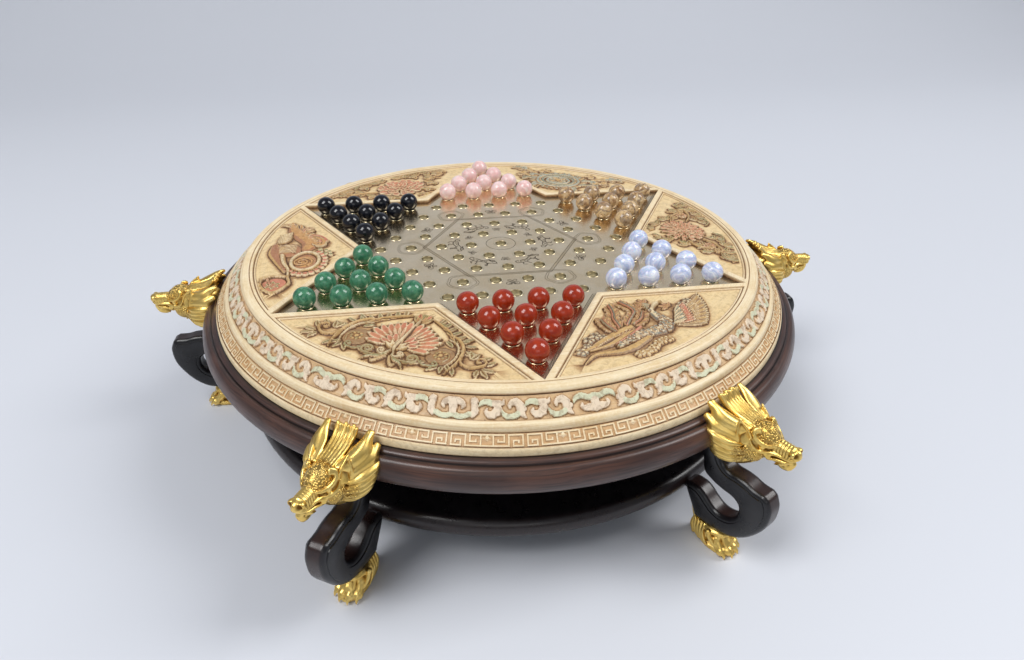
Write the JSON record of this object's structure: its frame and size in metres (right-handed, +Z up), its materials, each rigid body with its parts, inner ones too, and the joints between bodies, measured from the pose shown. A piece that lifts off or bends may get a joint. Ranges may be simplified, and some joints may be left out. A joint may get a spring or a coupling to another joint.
{
  "type": "chinese checkers board",
  "caption": "Round carved chinese checkers board with a star-shaped metal marble plate, on a low hooked-leg stand with dragon heads and claw feet, marbles set out.",
  "frame": {"origin": "on the surface it stands on, under the centre of the board", "axes": "+Z up along the board's axis; +X along a row of marble holes and through one leg; a star tip points along +Y and -Y"},
  "size_m": [0.574, 0.4994, 0.1549],
  "materials": {
    "carved_resin": "antiqued matt cream",
    "star_metal": "etched champagne satin",
    "deck_board": "dark stained",
    "rosewood": "satin lacquer",
    "black_lacquer": "glossy black lacquer",
    "gilt_metal": "matt gilt",
    "steel": "plain",
    "dowel_wood": "plain beech",
    "tan_stone": "polished",
    "rose_stone": "polished",
    "black_stone": "polished",
    "green_stone": "polished",
    "red_stone": "polished",
    "lace_stone": "polished"
  },
  "bodies": {
    "board": {"carved_top": "carved_resin", "star_plate": "star_metal", "deck": "deck_board", "wood_rim": "rosewood", "lower_shelf": "black_lacquer", "leg_1": "black_lacquer", "leg_2": "black_lacquer", "leg_3": "black_lacquer", "leg_4": "black_lacquer", "leg_5": "black_lacquer", "leg_6": "black_lacquer", "dragon_head_1": "gilt_metal", "dragon_head_2": "gilt_metal", "dragon_head_3": "gilt_metal", "dragon_head_4": "gilt_metal", "dragon_head_5": "gilt_metal", "dragon_head_6": "gilt_metal", "claw_foot_1": "gilt_metal", "claw_foot_2": "gilt_metal", "claw_foot_3": "gilt_metal", "claw_foot_4": "gilt_metal", "claw_foot_5": "gilt_metal", "claw_foot_6": "gilt_metal", "deck_screws": "steel", "top_screws": "steel", "leg_screws": "steel", "head_studs": "steel", "foot_screws": "steel", "leg_dowels": "dowel_wood", "shelf_dowels": "dowel_wood"},
    "tan_marble_1": {"tan_marble_1": "tan_stone"},
    "tan_marble_2": {"tan_marble_2": "tan_stone"},
    "tan_marble_3": {"tan_marble_3": "tan_stone"},
    "tan_marble_4": {"tan_marble_4": "tan_stone"},
    "rose_marble_1": {"rose_marble_1": "rose_stone"},
    "rose_marble_2": {"rose_marble_2": "rose_stone"},
    "rose_marble_3": {"rose_marble_3": "rose_stone"},
    "rose_marble_4": {"rose_marble_4": "rose_stone"},
    "black_marble_1": {"black_marble_1": "black_stone"},
    "black_marble_2": {"black_marble_2": "black_stone"},
    "black_marble_3": {"black_marble_3": "black_stone"},
    "black_marble_4": {"black_marble_4": "black_stone"},
    "green_marble_1": {"green_marble_1": "green_stone"},
    "green_marble_2": {"green_marble_2": "green_stone"},
    "green_marble_3": {"green_marble_3": "green_stone"},
    "green_marble_4": {"green_marble_4": "green_stone"},
    "red_marble_1": {"red_marble_1": "red_stone"},
    "red_marble_2": {"red_marble_2": "red_stone"},
    "red_marble_3": {"red_marble_3": "red_stone"},
    "red_marble_4": {"red_marble_4": "red_stone"},
    "lace_marble_1": {"lace_marble_1": "lace_stone"},
    "lace_marble_2": {"lace_marble_2": "lace_stone"},
    "lace_marble_3": {"lace_marble_3": "lace_stone"},
    "lace_marble_4": {"lace_marble_4": "lace_stone"},
    "tan_marbles_home": {"tan_marbles_home": "tan_stone"},
    "rose_marbles_home": {"rose_marbles_home": "rose_stone"},
    "black_marbles_home": {"black_marbles_home": "black_stone"},
    "green_marbles_home": {"green_marbles_home": "green_stone"},
    "red_marbles_home": {"red_marbles_home": "red_stone"},
    "lace_marbles_home": {"lace_marbles_home": "lace_stone"}
  },
  "joints": [
    {"name": "tan_marble_1_lift", "type": "slide", "parent": "board", "child": "tan_marble_1", "axis": [0, 0, 1], "range_m": [0, 0.04]},
    {"name": "tan_marble_2_lift", "type": "slide", "parent": "board", "child": "tan_marble_2", "axis": [0, 0, 1], "range_m": [0, 0.04]},
    {"name": "tan_marble_3_lift", "type": "slide", "parent": "board", "child": "tan_marble_3", "axis": [0, 0, 1], "range_m": [0, 0.04]},
    {"name": "tan_marble_4_lift", "type": "slide", "parent": "board", "child": "tan_marble_4", "axis": [0, 0, 1], "range_m": [0, 0.04]},
    {"name": "rose_marble_1_lift", "type": "slide", "parent": "board", "child": "rose_marble_1", "axis": [0, 0, 1], "range_m": [0, 0.04]},
    {"name": "rose_marble_2_lift", "type": "slide", "parent": "board", "child": "rose_marble_2", "axis": [0, 0, 1], "range_m": [0, 0.04]},
    {"name": "rose_marble_3_lift", "type": "slide", "parent": "board", "child": "rose_marble_3", "axis": [0, 0, 1], "range_m": [0, 0.04]},
    {"name": "rose_marble_4_lift", "type": "slide", "parent": "board", "child": "rose_marble_4", "axis": [0, 0, 1], "range_m": [0, 0.04]},
    {"name": "black_marble_1_lift", "type": "slide", "parent": "board", "child": "black_marble_1", "axis": [0, 0, 1], "range_m": [0, 0.04]},
    {"name": "black_marble_2_lift", "type": "slide", "parent": "board", "child": "black_marble_2", "axis": [0, 0, 1], "range_m": [0, 0.04]},
    {"name": "black_marble_3_lift", "type": "slide", "parent": "board", "child": "black_marble_3", "axis": [0, 0, 1], "range_m": [0, 0.04]},
    {"name": "black_marble_4_lift", "type": "slide", "parent": "board", "child": "black_marble_4", "axis": [0, 0, 1], "range_m": [0, 0.04]},
    {"name": "green_marble_1_lift", "type": "slide", "parent": "board", "child": "green_marble_1", "axis": [0, 0, 1], "range_m": [0, 0.04]},
    {"name": "green_marble_2_lift", "type": "slide", "parent": "board", "child": "green_marble_2", "axis": [0, 0, 1], "range_m": [0, 0.04]},
    {"name": "green_marble_3_lift", "type": "slide", "parent": "board", "child": "green_marble_3", "axis": [0, 0, 1], "range_m": [0, 0.04]},
    {"name": "green_marble_4_lift", "type": "slide", "parent": "board", "child": "green_marble_4", "axis": [0, 0, 1], "range_m": [0, 0.04]},
    {"name": "red_marble_1_lift", "type": "slide", "parent": "board", "child": "red_marble_1", "axis": [0, 0, 1], "range_m": [0, 0.04]},
    {"name": "red_marble_2_lift", "type": "slide", "parent": "board", "child": "red_marble_2", "axis": [0, 0, 1], "range_m": [0, 0.04]},
    {"name": "red_marble_3_lift", "type": "slide", "parent": "board", "child": "red_marble_3", "axis": [0, 0, 1], "range_m": [0, 0.04]},
    {"name": "red_marble_4_lift", "type": "slide", "parent": "board", "child": "red_marble_4", "axis": [0, 0, 1], "range_m": [0, 0.04]},
    {"name": "lace_marble_1_lift", "type": "slide", "parent": "board", "child": "lace_marble_1", "axis": [0, 0, 1], "range_m": [0, 0.04]},
    {"name": "lace_marble_2_lift", "type": "slide", "parent": "board", "child": "lace_marble_2", "axis": [0, 0, 1], "range_m": [0, 0.04]},
    {"name": "lace_marble_3_lift", "type": "slide", "parent": "board", "child": "lace_marble_3", "axis": [0, 0, 1], "range_m": [0, 0.04]},
    {"name": "lace_marble_4_lift", "type": "slide", "parent": "board", "child": "lace_marble_4", "axis": [0, 0, 1], "range_m": [0, 0.04]},
    {"name": "tan_home_lift", "type": "slide", "parent": "board", "child": "tan_marbles_home", "axis": [0, 0, 1], "range_m": [0, 0.04]},
    {"name": "rose_home_lift", "type": "slide", "parent": "board", "child": "rose_marbles_home", "axis": [0, 0, 1], "range_m": [0, 0.04]},
    {"name": "black_home_lift", "type": "slide", "parent": "board", "child": "black_marbles_home", "axis": [0, 0, 1], "range_m": [0, 0.04]},
    {"name": "green_home_lift", "type": "slide", "parent": "board", "child": "green_marbles_home", "axis": [0, 0, 1], "range_m": [0, 0.04]},
    {"name": "red_home_lift", "type": "slide", "parent": "board", "child": "red_marbles_home", "axis": [0, 0, 1], "range_m": [0, 0.04]},
    {"name": "lace_home_lift", "type": "slide", "parent": "board", "child": "lace_marbles_home", "axis": [0, 0, 1], "range_m": [0, 0.04]}
  ]
}
